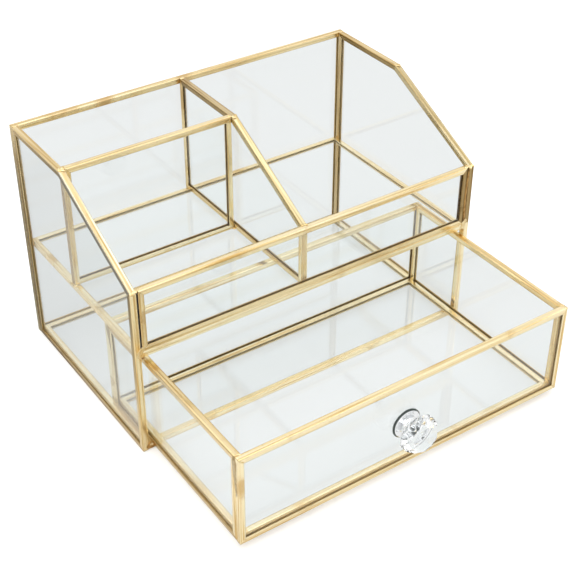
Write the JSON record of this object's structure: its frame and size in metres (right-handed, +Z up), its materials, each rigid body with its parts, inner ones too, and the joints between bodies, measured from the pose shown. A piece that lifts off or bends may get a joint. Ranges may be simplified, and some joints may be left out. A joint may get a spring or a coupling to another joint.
{
  "type": "jewelry box",
  "caption": "Glass jewelry box edged with folded brass strip: an open divided tray with sloping sides above a sliding glass drawer that opens by a cut crystal knob.",
  "frame": {"origin": "Middle of the case's front bottom edge, on the surface that it stands on.", "axes": "X to the right seen from the front, Y from the case front to the back, Z up."},
  "size_m": [0.26, 0.2749, 0.1632],
  "materials": {
    "brass_strip": "polished folded strip with light tarnish and solder at the corners",
    "clear_glass": "clear float glass",
    "cut_crystal": "cut and polished",
    "knob_chrome": "bright plated",
    "screw_steel": "zinc plated"
  },
  "bodies": {
    "case": {"back_bottom_strip": "brass_strip", "back_glass": "clear_glass", "back_left_strip": "brass_strip", "back_right_strip": "brass_strip", "back_top_strip": "brass_strip", "base_glass": "clear_glass", "base_strips": "brass_strip", "centre_divider_bottom_strip": "brass_strip", "centre_divider_front_strip": "brass_strip", "centre_divider_glass": "clear_glass", "centre_divider_rear_strip": "brass_strip", "centre_divider_top_strip": "brass_strip", "cross_divider_bottom_strip": "brass_strip", "cross_divider_glass": "clear_glass", "cross_divider_left_strip": "brass_strip", "cross_divider_right_strip": "brass_strip", "cross_divider_top_strip": "brass_strip", "left_side_bottom_strip": "brass_strip", "left_side_front_strip": "brass_strip", "left_side_glass": "clear_glass", "left_side_rear_strip": "brass_strip", "left_side_top_strip": "brass_strip", "right_side_bottom_strip": "brass_strip", "right_side_front_strip": "brass_strip", "right_side_glass": "clear_glass", "right_side_rear_strip": "brass_strip", "right_side_top_strip": "brass_strip", "tray_floor_glass": "clear_glass", "tray_floor_strips": "brass_strip", "tray_front_bottom_strip": "brass_strip", "tray_front_glass": "clear_glass", "tray_front_left_strip": "brass_strip", "tray_front_right_strip": "brass_strip", "tray_front_top_strip": "brass_strip"},
    "drawer": {"drawer_back_bottom_strip": "brass_strip", "drawer_back_glass": "clear_glass", "drawer_back_left_strip": "brass_strip", "drawer_back_right_strip": "brass_strip", "drawer_back_top_strip": "brass_strip", "drawer_bottom_glass": "clear_glass", "drawer_bottom_strips": "brass_strip", "drawer_front_bottom_strip": "brass_strip", "drawer_front_glass": "clear_glass", "drawer_front_left_strip": "brass_strip", "drawer_front_right_strip": "brass_strip", "drawer_front_top_strip": "brass_strip", "drawer_left_bottom_strip": "brass_strip", "drawer_left_front_strip": "brass_strip", "drawer_left_glass": "clear_glass", "drawer_left_rear_strip": "brass_strip", "drawer_left_top_strip": "brass_strip", "drawer_right_bottom_strip": "brass_strip", "drawer_right_front_strip": "brass_strip", "drawer_right_glass": "clear_glass", "drawer_right_rear_strip": "brass_strip", "drawer_right_top_strip": "brass_strip", "knob_base": "knob_chrome", "knob_crystal": "cut_crystal", "knob_screw": "screw_steel", "knob_washer": "screw_steel"}
  },
  "joints": [
    {"name": "drawer_slide", "type": "slide", "parent": "case", "child": "drawer", "axis": [0, -1, 0], "range_m": [-0.1, 0.026]}
  ]
}
